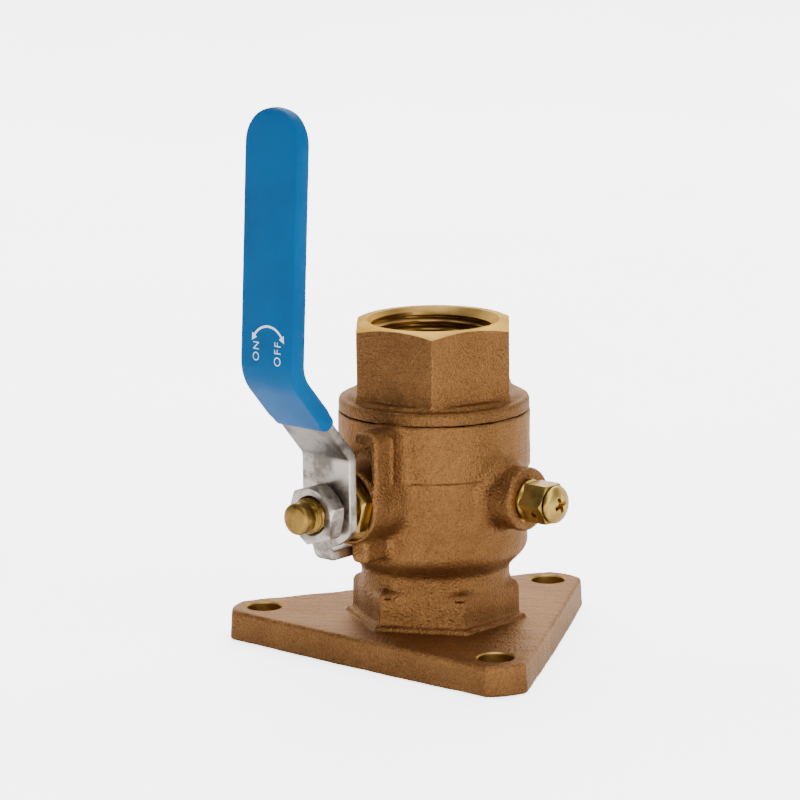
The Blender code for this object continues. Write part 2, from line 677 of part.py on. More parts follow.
def build():
    clear_scene()
    bronze = material("cast_bronze", (0.34, 0.19, 0.09), 0.5, 0.9)
    brass = material("brass", (0.62, 0.42, 0.13), 0.3, 1.0)
    chrome = material("chromed_brass", (0.8, 0.8, 0.8), 0.1, 1.0)
    steel = material("stainless_steel", (0.5, 0.48, 0.46), 0.4, 1.0)
    plastic = material("ptfe", (0.85, 0.85, 0.83), 0.5, 0.0)
    rubber = material("seal_rubber", (0.02, 0.02, 0.02), 0.6, 0.0)
    vinyl = material("blue_vinyl", (0.0, 0.13, 0.38), 0.35, 0.0)
    make_body(bronze)
    make_tailpiece(bronze, rubber)
    make_ball(chrome, plastic)
    make_stem(brass, plastic)
    make_gland(brass, plastic)
    make_handle(steel)
    make_grip(vinyl)
    make_handle_fasteners(steel)
    make_drain(brass, rubber)


build()
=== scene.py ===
"""Looks of the flanged bronze seacock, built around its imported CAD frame.

Shapes are modelled in millimetres in the row frame: +Z up the flow axis, -Y out along the
stem, +X out to the drain plug. The castings are signed distance fields turned into meshes,
so their corners are filled and rounded as a foundry leaves them; the machined cuts are
Booleans, and the turned and bent pieces are lathed or lofted.
"""

import math

import bmesh
import bpy
import numpy as np
import openvdb
from mathutils import Matrix, Vector


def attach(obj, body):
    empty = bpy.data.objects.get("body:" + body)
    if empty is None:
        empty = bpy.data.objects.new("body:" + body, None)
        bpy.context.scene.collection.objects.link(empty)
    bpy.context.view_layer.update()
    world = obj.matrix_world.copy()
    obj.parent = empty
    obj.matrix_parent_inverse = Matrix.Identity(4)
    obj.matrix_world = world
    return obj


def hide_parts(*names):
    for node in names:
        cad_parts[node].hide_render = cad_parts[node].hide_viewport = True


MM = 0.001
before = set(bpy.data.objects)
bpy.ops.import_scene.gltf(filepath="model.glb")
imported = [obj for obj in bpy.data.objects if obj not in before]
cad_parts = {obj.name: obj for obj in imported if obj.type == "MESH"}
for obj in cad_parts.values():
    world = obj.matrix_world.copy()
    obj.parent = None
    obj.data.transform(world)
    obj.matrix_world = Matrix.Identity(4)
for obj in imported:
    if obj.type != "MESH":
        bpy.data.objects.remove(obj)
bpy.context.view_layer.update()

# Main places and sizes in millimetres, close to the CAD's; turns in degrees
STEM_HEIGHT = 43.7
LOBES = (-30, 90, 210)
BOLT_CIRCLE = 46.5
BOLT_HOLE = 4.6
FLANGE_TOP = 8.1
BARREL_RADIUS = 25.1
BARREL_TOP = 63.7
HULL_HEX_FLATS = 38.8
HULL_HEX_TOP = 18.6
HULL_LIP_FLATS = 41.8
HULL_LIP_TOP = 9.3
HULL_HEX_TURN = 30
NECK_RADIUS = 19.5
BOSS_FACE = 34.8
BOSS_RADIUS = 10.1
EAR_FRONT = 34.3
EAR_TOP = 20.0
EAR_LIP = 17.1
EAR_END = 2.2
STOP_FRONT = 32.8
STOP_REACH = 15.3
DRAIN_FACE = 32.4
DRAIN_RADIUS = 8.3
DRAIN_END = 40.4
COLLAR_TOP = 67.2
HEX_FOOT = 68.3
RIM_HEIGHT = 87.3
TAIL_HEX_FLATS = 39.5
TAIL_LIP_FLATS = 40.3
TAIL_TURN = -49.9
BORE_RADIUS = 12.6
SEAT_RADIUS = 17.6
LOWER_BEND = (40.8, 58.5)
UPPER_BEND = (61.4, 81.7)
LEVER_TIP = (57.6, 148.3)
PLATE_HALF = 8.3
PLATE_THICKNESS = 2.6
GRIP_WALL = 1.0
GRIP_SHARE = 0.41  # of the slope between the bends, left bare below the grip
PIPE_PITCH = 2.209
PIPE_CREST = 15.4
PIPE_ROOT = 16.75
STEM_THREAD = 4.55
STEM_PITCH = 1.27

# Spacing of the castings' distance fields
CASTING_STEP = 0.4

# The backdrop is turned to face the camera
CAMERA_AZIMUTH = 41.57

# Small scars in the hull hexagon: place, then half length and half height
FLAWS = ((17.6, -12.3, 16.4, 2.8, 0.22), (2.3, -21.0, 16.6, 1.6, 0.16))

TO_STEM = Matrix.Translation((0, 0, STEM_HEIGHT)) @ Matrix.Rotation(math.radians(90), 4, "X")
TO_DRAIN = Matrix.Translation((0, 0, STEM_HEIGHT)) @ Matrix.Rotation(math.radians(90), 4, "Y")


# ---------------------------------------------------------------- meshes

def mesh_object(name, vertices, faces, finish=None, transform=None):
    mesh = bpy.data.meshes.new(name)
    points = np.asarray(vertices, float)
    mesh.from_pydata(points.tolist(), [], [tuple(face) for face in faces])
    if transform is not None:
        mesh.transform(transform)
    mesh.transform(Matrix.Scale(MM, 4))
    if finish is not None:
        mesh.materials.append(finish)
    made = bpy.data.objects.new(name, mesh)
    bpy.context.scene.collection.objects.link(made)
    return made


def face_outward(obj):
    work = bmesh.new()
    work.from_mesh(obj.data)
    bmesh.ops.recalc_face_normals(work, faces=work.faces)
    work.to_mesh(obj.data)
    work.free()


def soften(obj, angle=32):
    obj.data.polygons.foreach_set("use_smooth", [True] * len(obj.data.polygons))
    obj.data.set_sharp_from_angle(angle=math.radians(angle))


def apply_modifiers(obj):
    graph = bpy.context.evaluated_depsgraph_get()
    baked = bpy.data.meshes.new_from_object(obj.evaluated_get(graph))
    obj.modifiers.clear()
    obj.data = baked


def boolean(obj, tool, operation="DIFFERENCE"):
    change = obj.modifiers.new("cut", "BOOLEAN")
    change.operation = operation
    change.solver = "EXACT"
    change.material_mode = "TRANSFER"
    change.object = tool
    apply_modifiers(obj)
    bpy.data.objects.remove(tool)


def bevel(obj, width, angle=30, segments=2):
    change = obj.modifiers.new("edges", "BEVEL")
    change.width = width * MM
    change.segments = segments
    change.limit_method = "ANGLE"
    change.angle_limit = math.radians(angle)
    apply_modifiers(obj)


def join(pieces):
    """One object holding every piece, with their materials kept apart."""
    first = pieces[0]
    work = bmesh.new()
    slots = list(first.data.materials)
    for piece in pieces:
        start = len(work.faces)
        work.from_mesh(piece.data)
        work.faces.ensure_lookup_table()
        places = []
        for finish in piece.data.materials:
            if finish not in slots:
                slots.append(finish)
            places.append(slots.index(finish))
        for face in work.faces[start:]:
            face.material_index = places[min(face.material_index, len(places) - 1)]
    work.to_mesh(first.data)
    work.free()
    first.data.materials.clear()
    for finish in slots:
        first.data.materials.append(finish)
    for piece in pieces[1:]:
        bpy.data.objects.remove(piece)
    return first


def lathe(name, profile, finish, steps=96, transform=None, radius_at=None, ring=False):
    """Turn an (r, z) profile. radius_at(r, z, turn) may change a point's radius."""
    turns = [2 * math.pi * index / steps for index in range(steps)]
    vertices, faces, rows = [], [], []
    for r, z in profile:
        if r < 1e-6:
            rows.append([len(vertices)] * steps)
            vertices.append((0, 0, z))
            continue
        rows.append(list(range(len(vertices), len(vertices) + steps)))
        for turn in turns:
            reach = radius_at(r, z, turn) if radius_at else r
            vertices.append((reach * math.cos(turn), reach * math.sin(turn), z))
    pairs = list(zip(rows, rows[1:]))
    if ring:
        pairs.append((rows[-1], rows[0]))
    for low, high in pairs:
        for index in range(steps):
            after = (index + 1) % steps
            corners = [low[index], low[after], high[after], high[index]]
            face = [c for place, c in enumerate(corners) if c not in corners[:place]]
            if len(face) > 2:
                faces.append(face)
    made = mesh_object(name, vertices, faces, finish, transform)
    face_outward(made)
    return made


def thread_rows(start, end, per_turn, pitch):
    count = max(int(abs(end - start) / pitch * per_turn), 2)
    return [start + (end - start) * index / count for index in range(count + 1)]


def thread_shift(z, turn, pitch, flat=0.14):
    """0 at the crest and 1 at the root of a helical thread."""
    phase = (z / pitch - turn / (2 * math.pi)) % 1
    height = abs(2 * phase - 1)
    return min(max((height - flat) / (1 - 2 * flat), 0), 1)


# ---------------------------------------------------------------- distance fields

def fillet(a, b, radius):
    """Union of two fields with a hollow fillet of that radius."""
    low = np.minimum(a, b)
    return np.maximum(low, radius) - np.hypot(np.maximum(radius - a, 0), np.maximum(radius - b, 0))


def rounded(a, b, radius):
    """Intersection of two fields with a rounded edge of that radius."""
    high = np.maximum(a, b)
    return np.minimum(high, -radius) + np.hypot(np.maximum(a + radius, 0), np.maximum(b + radius, 0))


def carve(a, b, radius):
    """Field a less field b, the new edge rounded."""
    return rounded(a, -b, radius)


def polygon_field(x, y, outline):
    """Signed distance to a closed polygon, negative inside."""
    best = np.full(np.broadcast(x, y).shape, 1e9, np.float32)
    inside = np.zeros(best.shape, bool)
    for (ax, ay), (bx, by) in zip(outline, outline[1:] + outline[:1]):
        ex, ey = bx - ax, by - ay
        share = np.clip(((x - ax) * ex + (y - ay) * ey) / (ex * ex + ey * ey), 0, 1)
        best = np.minimum(best, np.hypot(x - ax - share * ex, y - ay - share * ey))
        if ey:
            crosses = ((ay > y) != (by > y)) & (x < (bx - ax) * (y - ay) / ey + ax)
            inside ^= crosses
    return np.where(inside, -best, best)


def hexagon_field(x, y, flats, turn, rounding):
    radius = (flats / 2 - rounding) / math.cos(math.radians(30))
    corners = []
    for index in range(6):
        angle = math.radians(turn + 60 * index)
        corners.append((radius * math.cos(angle), radius * math.sin(angle)))
    return polygon_field(x, y, corners) - rounding


def waves(x, y, z, lengths, height, seed):
    """Gentle unevenness of a sand-cast skin."""
    rng = np.random.default_rng(seed)
    total = 0
    for length in lengths:
        way = rng.normal(size=3)
        way *= 2 * math.pi / length / np.linalg.norm(way)
        total = total + np.sin(x * way[0] + y * way[1] + z * way[2] + rng.uniform(0, 6.28))
    return (total * (height / math.sqrt(len(lengths)))).astype(np.float32)


def field_mesh(name, low, step, values, finish):
    grid = openvdb.FloatGrid(3.0)
    grid.copyFromArray(np.ascontiguousarray(values, dtype=np.float32))
    points, quads = grid.convertToQuads(0.0)
    points = np.asarray(points, float) * step + np.array(low)
    mesh = bpy.data.meshes.new(name)
    mesh.vertices.add(len(points))
    mesh.vertices.foreach_set("co", (points * MM).ravel())
    mesh.loops.add(quads.size)
    mesh.loops.foreach_set("vertex_index", quads.astype(np.int32).ravel())
    mesh.polygons.add(len(quads))
    mesh.polygons.foreach_set("loop_start", np.arange(0, quads.size, 4, dtype=np.int32))
    mesh.update(calc_edges=True)
    mesh.validate()
    mesh.materials.append(finish)
    made = bpy.data.objects.new(name, mesh)
    bpy.context.scene.collection.objects.link(made)
    return made


def axes(low, high, step):
    spans = [np.arange(a, b + step, step, dtype=np.float32) for a, b in zip(low, high)]
    return np.meshgrid(*spans, indexing="ij", sparse=True)


# ---------------------------------------------------------------- materials

class Nodes:
    """Short way to wire a Principled material."""

    def __init__(self, name):
        self.material = bpy.data.materials.new(name)
        self.material.use_nodes = True
        self.tree = self.material.node_tree
        self.shader = self.tree.nodes["Principled BSDF"]
        self.place = self.add("ShaderNodeTexCoord").outputs["Object"]

    def add(self, kind, **settings):
        node = self.tree.nodes.new(kind)
        for key, value in settings.items():
            setattr(node, key, value)
        return node

    def link(self, source, target):
        self.tree.links.new(source, target)

    def noise(self, scale, detail=2.0, roughness=0.5, stretch=None):
        node = self.add("ShaderNodeTexNoise")
        node.inputs["Scale"].default_value = scale
        node.inputs["Detail"].default_value = detail
        node.inputs["Roughness"].default_value = roughness
        self.link(self.stretched(stretch), node.inputs["Vector"])
        return node.outputs["Fac"]

    def stretched(self, stretch):
        if stretch is None:
            return self.place
        node = self.add("ShaderNodeMapping")
        node.inputs["Scale"].default_value = stretch
        self.link(self.place, node.inputs["Vector"])
        return node.outputs["Vector"]

    def ramp(self, value, stops, smooth=True):
        node = self.add("ShaderNodeValToRGB")
        node.color_ramp.interpolation = "EASE" if smooth else "LINEAR"
        marks = node.color_ramp.elements
        while len(marks) < len(stops):
            marks.new(0.5)
        for mark, (place, color) in zip(marks, stops):
            mark.position = place
            mark.color = (*color, 1) if isinstance(color, tuple) else (color, color, color, 1)
        self.link(value, node.inputs["Fac"])
        return node.outputs["Color"]

    def multiply(self, amount, first, second):
        """Colour first, darkened or lightened by colour second in that amount."""
        node = self.add("ShaderNodeMix", data_type="RGBA", blend_type="MULTIPLY")
        node.inputs[0].default_value = amount
        self.link(first, node.inputs[6])
        self.link(second, node.inputs[7])
        return node.outputs[2]

    def scaled(self, value, factor, plus=0.0):
        """value * factor + plus, where plus is a number or another output."""
        node = self.add("ShaderNodeMath", operation="MULTIPLY_ADD")
        self.link(value, node.inputs[0])
        node.inputs[1].default_value = factor
        if isinstance(plus, float):
            node.inputs[2].default_value = plus
        else:
            self.link(plus, node.inputs[2])
        return node.outputs[0]

    def height(self):
        """Height in metres."""
        split = self.add("ShaderNodeSeparateXYZ")
        self.link(self.place, split.inputs[0])
        return split.outputs[2]

    def bump(self, height, distance, strength=1.0, under=None):
        node = self.add("ShaderNodeBump")
        node.inputs["Strength"].default_value = strength
        node.inputs["Distance"].default_value = distance * MM
        self.link(height, node.inputs["Height"])
        if under is not None:
            self.link(under, node.inputs["Normal"])
        return node.outputs["Normal"]

    def finish(self, color, roughness, normal, metallic=0.0):
        self.shader.inputs["Metallic"].default_value = metallic
        for name, value in (("Base Color", color), ("Roughness", roughness), ("Normal", normal)):
            self.link(value, self.shader.inputs[name])
        return self.material


def cast_bronze():
    n = Nodes("cast_bronze")
    broad = n.noise(45, 3)
    patch = n.noise(220, 3, 0.6)
    peel = n.noise(1650, 1, 0.5)
    grain = n.noise(2800, 2, 0.6)
    color = n.ramp(broad, ((0.30, (0.176, 0.080, 0.0255)), (0.72, (0.222, 0.105, 0.0350))))
    tint = n.ramp(patch, ((0.30, (0.80, 0.76, 0.74)), (0.70, (1.0, 1.0, 1.0))))
    color = n.multiply(0.5, color, tint)
    speckle = n.ramp(grain, ((0.34, 0.62), (0.50, 1.0), (0.68, 1.45)))
    color = n.multiply(0.6, color, speckle)
    hollow = n.ramp(peel, ((0.34, 0.80), (0.50, 1.04)))
    color = n.multiply(0.6, color, hollow)
    # darker at the flange's foot and on the collar, with a ragged edge
    level = n.scaled(n.height(), 10.0, n.scaled(n.noise(160, 3, 0.6), 0.02))
    stops = ((0.04, 0.86), (0.075, 1.0), (0.640, 1.0), (0.648, 0.80), (0.675, 0.80), (0.70, 1.0))
    color = n.multiply(1.0, color, n.ramp(level, stops, False))
    rough = n.scaled(grain, 0.22, 0.32)
    n.shader.inputs["Specular Tint"].default_value = (0.92, 0.82, 0.72, 1)
    normal = n.bump(peel, 0.40, 1.0)
    normal = n.bump(grain, 0.12, 0.9, normal)
    return n.finish(color, rough, normal, 0.95)


def machined_bronze():
    n = Nodes("machined_bronze")
    turning = n.noise(900, 2, 0.6, (0.15, 0.15, 3.0))
    broad = n.noise(90, 3)
    color = n.ramp(broad, ((0.3, (0.30, 0.175, 0.050)), (0.7, (0.48, 0.295, 0.090))))
    n.shader.inputs["Specular Tint"].default_value = (0.85, 0.66, 0.40, 1)
    rough = n.scaled(turning, 0.20, 0.30)
    return n.finish(color, rough, n.bump(turning, 0.02, 0.5), 1.0)


def brass_finish(name, base, dark, rough, wear):
    n = Nodes(name)
    streak = n.noise(700, 3, 0.6)
    broad = n.noise(160, 3)
    color = n.ramp(broad, ((0.32, dark), (0.62, base)))
    return n.finish(color, n.scaled(streak, 0.2, rough - 0.08), n.bump(streak, wear, 0.6), 1.0)


def stainless():
    n = Nodes("tumbled_stainless")
    broad = n.noise(110, 4, 0.68)
    fine = n.noise(1100, 3, 0.6)
    scratch = n.noise(500, 3, 0.6, (1.0, 1.0, 0.12))
    color = n.ramp(broad, ((0.36, (0.145, 0.122, 0.10)), (0.58, (0.45, 0.395, 0.345))))
    # painted shade: darker from the lower bend upward, over the sloped part of the plate
    slope = n.ramp(n.scaled(n.height(), 10.0), ((0.570, 1.0), (0.586, 0.42), (0.70, 0.55)), False)
    color = n.multiply(1.0, color, slope)
    rough = n.scaled(fine, 0.22, 0.24)
    normal = n.bump(fine, 0.03, 0.6)
    normal = n.bump(scratch, 0.03, 0.5, normal)
    return n.finish(color, rough, normal, 1.0)


def vinyl():
    n = Nodes("blue_vinyl")
    broad = n.noise(60, 2)
    fine = n.noise(900, 2)
    color = n.ramp(broad, ((0.3, (0.002, 0.067, 0.196)), (0.7, (0.003, 0.078, 0.226))))
    rough = n.scaled(fine, 0.12, 0.38)
    n.shader.inputs["Specular IOR Level"].default_value = 0.08
    normal = n.bump(n.noise(120, 2), 0.12, 0.5)
    normal = n.bump(fine, 0.01, 0.4, normal)
    return n.finish(color, rough, normal, 0.0)


def plain(name, color, roughness, metallic=0.0):
    n = Nodes(name)
    grain = n.noise(800, 2)
    tone = n.ramp(grain, ((0.3, tuple(0.86 * c for c in color)), (0.7, color)))
    return n.finish(tone, n.scaled(grain, 0.1, roughness - 0.05), n.bump(grain, 0.01, 0.4), metallic)


# ---------------------------------------------------------------- castings

def flange_outline():
    """Three lobes with rounded corners, joined by slightly bowed sides."""
    radius, reach, half_width = 2.5, 52.4, 4.06
    points, stations = [], []
    for lobe in LOBES:
        for side in (-1, 1):
            centre = Vector((reach, side * half_width))
            sweep = range(-60, 1, 12) if side < 0 else range(0, 61, 12)
            spin = Matrix.Rotation(math.radians(lobe), 2)
            arc = []
            for degrees in sweep:
                turn = math.radians(degrees)
                arc.append(spin @ (centre + radius * Vector((math.cos(turn), math.sin(turn)))))
            stations.append((arc, 0.7 if side < 0 else 0.48))
    for (arc, bulge), (following, _) in zip(stations, stations[1:] + stations[:1]):
        points += [tuple(p) for p in arc]
        start, end = arc[-1], following[0]
        outward = ((start + end) / 2).normalized()
        for share in (0.12, 0.25, 0.38, 0.5, 0.62, 0.75, 0.88):
            points.append(tuple(start.lerp(end, share) + outward * bulge * 4 * share * (1 - share)))
    return points


def body_field(x, y, z):
    rho = np.hypot(x, y)
    out = -y
    rise = z - STEM_HEIGHT
    # flange, with a little draft
    outline = polygon_field(x, y, flange_outline())
    flange = rounded(outline + z * 0.06, np.maximum(z - FLANGE_TOP, -z), 0.9)
    # hexagon flaring into the flange, then the neck
    flare = np.clip((11.4 - z) / 3.0, 0, 1) ** 2 * 0.5
    hexagon = hexagon_field(x, y, HULL_HEX_FLATS, HULL_HEX_TURN, 0.7)
    hexagon = rounded(hexagon - flare, np.maximum(z - HULL_HEX_TOP, 4 - z), 2.4)
    lip = hexagon_field(x, y, HULL_LIP_FLATS, HULL_HEX_TURN, 0.6)
    lip = rounded(lip, np.maximum(z - HULL_LIP_TOP, 4 - z), 0.6)
    neck = rounded(rho - NECK_RADIUS, np.maximum(z - 27.0, 6 - z), 0.2)
    lower = fillet(flange, lip, 0.35)
    lower = fillet(lower, hexagon, 0.6)
    lower = fillet(lower, neck, 1.0)
    # barrel with its undercut foot and the step of the parting line
    cone = (rho - z + 2.8) * 0.7071
    foot = rounded(rho - 24.3, cone, 1.3)
    foot = rounded(foot, z - 50, 0.1)
    top = rounded(rho - BARREL_RADIUS, np.maximum(z - BARREL_TOP, 48.6 - z), 0.35)
    barrel = fillet(foot, top, 0.3)
    # stem boss, hooked ear and the two stops
    reach = np.hypot(x, rise)
    swell = np.clip((29 - out) / 6, 0, 1) * 0.7
    boss = rounded(reach - BOSS_RADIUS - swell, np.maximum(out - BOSS_FACE, 10 - out), 0.7)
    droop = rise + (BOSS_RADIUS - x) * 0.08
    ear = rounded(rounded(x - BOSS_RADIUS, droop - EAR_TOP, 3.0), np.maximum(EAR_END - x, -rise), 1.1)
    ear = carve(ear, rounded(x - 8.1, droop - EAR_LIP, 1.5), 0.8)
    ear = rounded(ear, np.maximum(out - EAR_FRONT, 10 - out), 1.2)
    bead = np.hypot(x - 9.9, out - 27.9) - 0.7
    bead = rounded(bead, np.maximum(rise - 18.0, 5.5 - rise), 0.6)
    stem_side = fillet(fillet(boss, ear, 1.2), bead, 0.5)
    open_stop = rounded(np.abs(x - 2.5) - 2.7, np.maximum(-STOP_REACH - rise, rise + 6), 1.5)
    open_stop = rounded(open_stop, np.maximum(out - STOP_FRONT, 14 - out), 1.0)
    closed_stop = rounded(np.abs(rise - 7.8) - 2.5, np.maximum(-STOP_REACH - x, x + 6), 1.5)
    closed_stop = rounded(closed_stop, np.maximum(out - STOP_FRONT, 12 - out), 1.0)
    stops = fillet(open_stop, closed_stop, 0.5)
    stem_side = fillet(stem_side, stops, 1.2)
    # drain boss
    around = np.hypot(y, rise)
    drain = rounded(around - DRAIN_RADIUS, np.maximum(x - DRAIN_FACE, 8 - x), 1.4)
    skin = fillet(barrel, stem_side, 1.9)
    skin = fillet(skin, drain, 2.6)
    skin = fillet(skin, lower, 0.8)
    skin = skin + waves(x, y, z, (4, 5, 6, 7, 8, 9, 10, 12, 14), 0.055, 3)
    for px, py, pz, length, height in FLAWS:
        way = math.hypot(px, py)
        side = (x * -py + y * px) / way
        depth = (x * px + y * py) / way - way
        pit = np.sqrt((side / length) ** 2 + (depth / 0.8) ** 2 + ((z - pz - side * 0.12) / height) ** 2)
        skin = carve(skin, (pit - 1) * height, 0.25)
    # inner spaces that stay rough enough for the field
    bores = rho - BORE_RADIUS
    cavity = np.maximum(rho - 20.8, np.maximum(z - 55, 32 - z))
    seat = np.maximum(rho - SEAT_RADIUS, np.maximum(z - 40, 26.9 - z))
    joint = np.maximum(rho - 22.0, 54.7 - z)
    ring = np.maximum(rho - 22.9, BARREL_TOP - 2.6 - z)
    stem_way = np.maximum(reach - 5.3, -out)
    collar = np.maximum(reach - 7.9, np.maximum(out - 24.2, -out))
    drain_way = np.maximum(around - 3.9, -x)
    for hollow in (bores, cavity, seat, joint, ring, stem_way, collar, drain_way):
        skin = np.maximum(skin, -hollow)
    return skin


def pipe_thread(mouth, top_direction):
    """Radius of a helical pipe thread that fades out at the mouth and at its end."""
    def radius_at(r, z, turn):
        if abs(r - PIPE_CREST) > 1e-3:
            return r
        depth = (mouth - z) * top_direction
        fade = min(max((15.5 - depth) / 3, 0), 1)
        return PIPE_CREST + (PIPE_ROOT - PIPE_CREST) * fade * thread_shift(z, turn, PIPE_PITCH)
    return radius_at


def make_body(bronze, machined, step):
    low, high = (-52, -37.5, -1.5), (52, 58, BARREL_TOP + 1.5)
    x, y, z = axes(low, high, step)
    body = field_mesh("body_casting", low, step, body_field(x, y, z), bronze)
    rows = thread_rows(1.3, 18.2, 12, PIPE_PITCH)
    profile = [(0, -3), (17.4, -3), (17.4, -0.2), (16.9, 0.0)] + [(PIPE_CREST, z) for z in rows]
    profile += [(15.3, 19), (12.5, 19.2), (0, 19.2)]
    tools = [lathe("port", profile, machined, 96, None, pipe_thread(0, -1))]
    counterbore = [
        (0, 25), (7.0, 25), (7.0, 32.6), (9.2, 32.6), (9.2, BOSS_FACE - 0.25), (9.55, BOSS_FACE + 0.1),
        (9.55, 38), (0, 38),
    ]
    tools.append(lathe("counterbore", counterbore, machined, 80, TO_STEM))
    spot_face = [(0, 30.5), (4.0, 30.5), (4.0, 31.8), (5.85, 31.8), (5.85, 35), (0, 35)]
    tools.append(lathe("spot_face", spot_face, machined, 64, TO_DRAIN))
    for lobe in LOBES:
        turn = math.radians(lobe)
        hole = [
            (0, -3), (5.1, -3), (5.1, -0.2), (BOLT_HOLE, 0.3), (BOLT_HOLE, FLANGE_TOP - 0.35),
            (BOLT_HOLE + 0.5, FLANGE_TOP + 0.15), (BOLT_HOLE + 0.5, 11), (0, 11),
        ]
        spot = Matrix.Translation((BOLT_CIRCLE * math.cos(turn), BOLT_CIRCLE * math.sin(turn), 0))
        tools.append(lathe("bolt_hole", hole, machined, 64, spot))
    boolean(body, join(tools))
    soften(body, 38)
    return body


def tail_field(x, y, z):
    rho = np.hypot(x, y)
    collar = rounded(rho - (BARREL_RADIUS - 0.1), z - COLLAR_TOP, 1.1)
    collar = rounded(collar, BARREL_TOP + 0.15 - z, 0.15)
    dome = rounded(rho - 22.7, np.maximum(z - HEX_FOOT, 60 - z), 1.0)
    lip = hexagon_field(x, y, TAIL_LIP_FLATS, TAIL_TURN, 0.8)
    lip = rounded(lip, np.maximum(z - HEX_FOOT - 0.5, 62 - z), 0.3)
    hexagon = hexagon_field(x, y, TAIL_HEX_FLATS, TAIL_TURN, 0.55)
    hexagon = np.maximum(hexagon, np.maximum(z - 90, 60 - z))
    shape = fillet(fillet(collar, dome, 1.0), lip, 0.35)
    shape = np.maximum(fillet(shape, hexagon, 0.5), BARREL_TOP + 0.15 - z)
    shape = shape + waves(x, y, z, (5, 6, 7, 8, 9, 10, 12, 14), 0.04, 5)
    screw = np.maximum(rho - 21.6, np.maximum(z - 66, 55.3 - z))
    shape = np.minimum(shape, screw)
    seat = np.maximum(rho - SEAT_RADIUS, z - 60.5)
    shape = np.maximum(shape, -seat)
    return np.maximum(shape, -(rho - BORE_RADIUS))


def make_tailpiece(bronze, machined, step):
    low, high = (-26.5, -26.5, 54), (26.5, 26.5, 89.5)
    x, y, z = axes(low, high, step)
    tail = field_mesh("tailpiece_casting", low, step, tail_field(x, y, z), bronze)
    rows = thread_rows(69.6, 85.4, 12, PIPE_PITCH)
    profile = [(0, 69.0), (12.5, 69.0), (15.3, 69.2)] + [(PIPE_CREST, z) for z in rows]
    profile += [
        (16.2, 86.2), (17.3, RIM_HEIGHT), (19.4, RIM_HEIGHT), (27, RIM_HEIGHT - 3.3), (27, 92), (0, 92),
    ]
    tool = lathe("mouth", profile, machined, 128, None, pipe_thread(RIM_HEIGHT, 1))
    boolean(tail, tool)
    soften(tail, 38)
    return tail


# ---------------------------------------------------------------- hexagon pieces

def hex_piece(name, finish, flats, span, front_radius, turn, transform, drop, back=False):
    """Hexagonal bar with its front corners (and its back ones) turned off to a cone."""
    low, high = span
    corners = flats / math.sqrt(3)
    vertices = []
    for z in (low, high):
        for index in range(6):
            angle = math.radians(turn + 60 * index)
            vertices.append((corners * math.cos(angle), corners * math.sin(angle), z))
    faces = [list(range(5, -1, -1)), list(range(6, 12))]
    faces += [[i, (i + 1) % 6, 6 + (i + 1) % 6, 6 + i] for i in range(6)]
    bar = mesh_object(name, vertices, faces, finish, transform)
    slope = drop / (corners - front_radius)
    reach = corners + 2
    cone = [(0, high), (front_radius, high), (reach, high - (reach - front_radius) * slope)]
    if back:
        cone += [(reach, low + (reach - front_radius) * slope), (front_radius, low), (0, low)]
    else:
        cone += [(reach, low - 1), (0, low - 1)]
    boolean(bar, lathe("cone", cone, finish, 96, transform), "INTERSECT")
    return bar


def bore_out(obj, profile, transform, finish, steps=64):
    boolean(obj, lathe("bore", profile, finish, steps, transform))


# ---------------------------------------------------------------- lever

def bent(points, radius, steps):
    """Points of the arc that rounds the middle corner of three."""
    before, corner, after = (Vector(p) for p in points)
    back, ahead = (before - corner).normalized(), (after - corner).normalized()
    half = back.angle(ahead) / 2
    reach = radius / math.tan(half)
    centre = corner + (back + ahead).normalized() * radius / math.sin(half)
    start, end = corner + back * reach - centre, corner + ahead * reach
    for sweep in (math.pi - 2 * half, 2 * half - math.pi):
        arc = [centre + Matrix.Rotation(sweep * index / steps, 2) @ start for index in range(steps + 1)]
        if (arc[-1] - end).length < 0.01:
            break
    return arc


def spread(points, spacing):
    """Points along a path no further apart than spacing."""
    out = [points[0]]
    for point in points[1:]:
        last = out[-1]
        count = max(int(math.ceil((point - last).length / spacing)), 1)
        out += [last.lerp(point, (index + 1) / count) for index in range(count)]
    return out


def skin_strip(name, stations, finish, segments=4):
    """Skin of a strip. A station is (centre, left, right, half thickness, corner radius)."""
    vertices, rings = [], []
    centres = [station[0] for station in stations]
    for index, (centre, left, right, half, corner) in enumerate(stations):
        before, after = centres[max(index - 1, 0)], centres[min(index + 1, len(centres) - 1)]
        along = (after - before).normalized()
        across = Vector((along.y, -along.x))
        corner = min(corner, half * 0.98, (right - left) * 0.49)
        ring = []
        quarter = [
            (right - corner, half - corner, 0), (left + corner, half - corner, 90),
            (left + corner, corner - half, 180), (right - corner, corner - half, 270),
        ]
        for cx, cy, start in quarter:
            for piece in range(segments + 1):
                turn = math.radians(start + 90 * piece / segments)
                px = cx + corner * math.cos(turn)
                offset = cy + corner * math.sin(turn)
                spot = centre + across * offset
                ring.append((px, -spot.x, spot.y))
        rings.append(list(range(len(vertices), len(vertices) + len(ring))))
        vertices += ring
    faces = []
    size = len(rings[0])
    for low, high in zip(rings, rings[1:]):
        for index in range(size):
            after = (index + 1) % size
            faces.append([low[index], low[after], high[after], high[index]])
    faces += [rings[0][::-1], rings[-1]]
    made = mesh_object(name, vertices, faces, finish)
    face_outward(made)
    return made


def lever_line():
    foot = (LOWER_BEND[0], STEM_HEIGHT)
    line = [Vector((LOWER_BEND[0], STEM_HEIGHT + 8))]
    line += bent((foot, LOWER_BEND, UPPER_BEND), 3.2, 10)
    line += bent((LOWER_BEND, UPPER_BEND, LEVER_TIP), 10.0, 12)
    return line


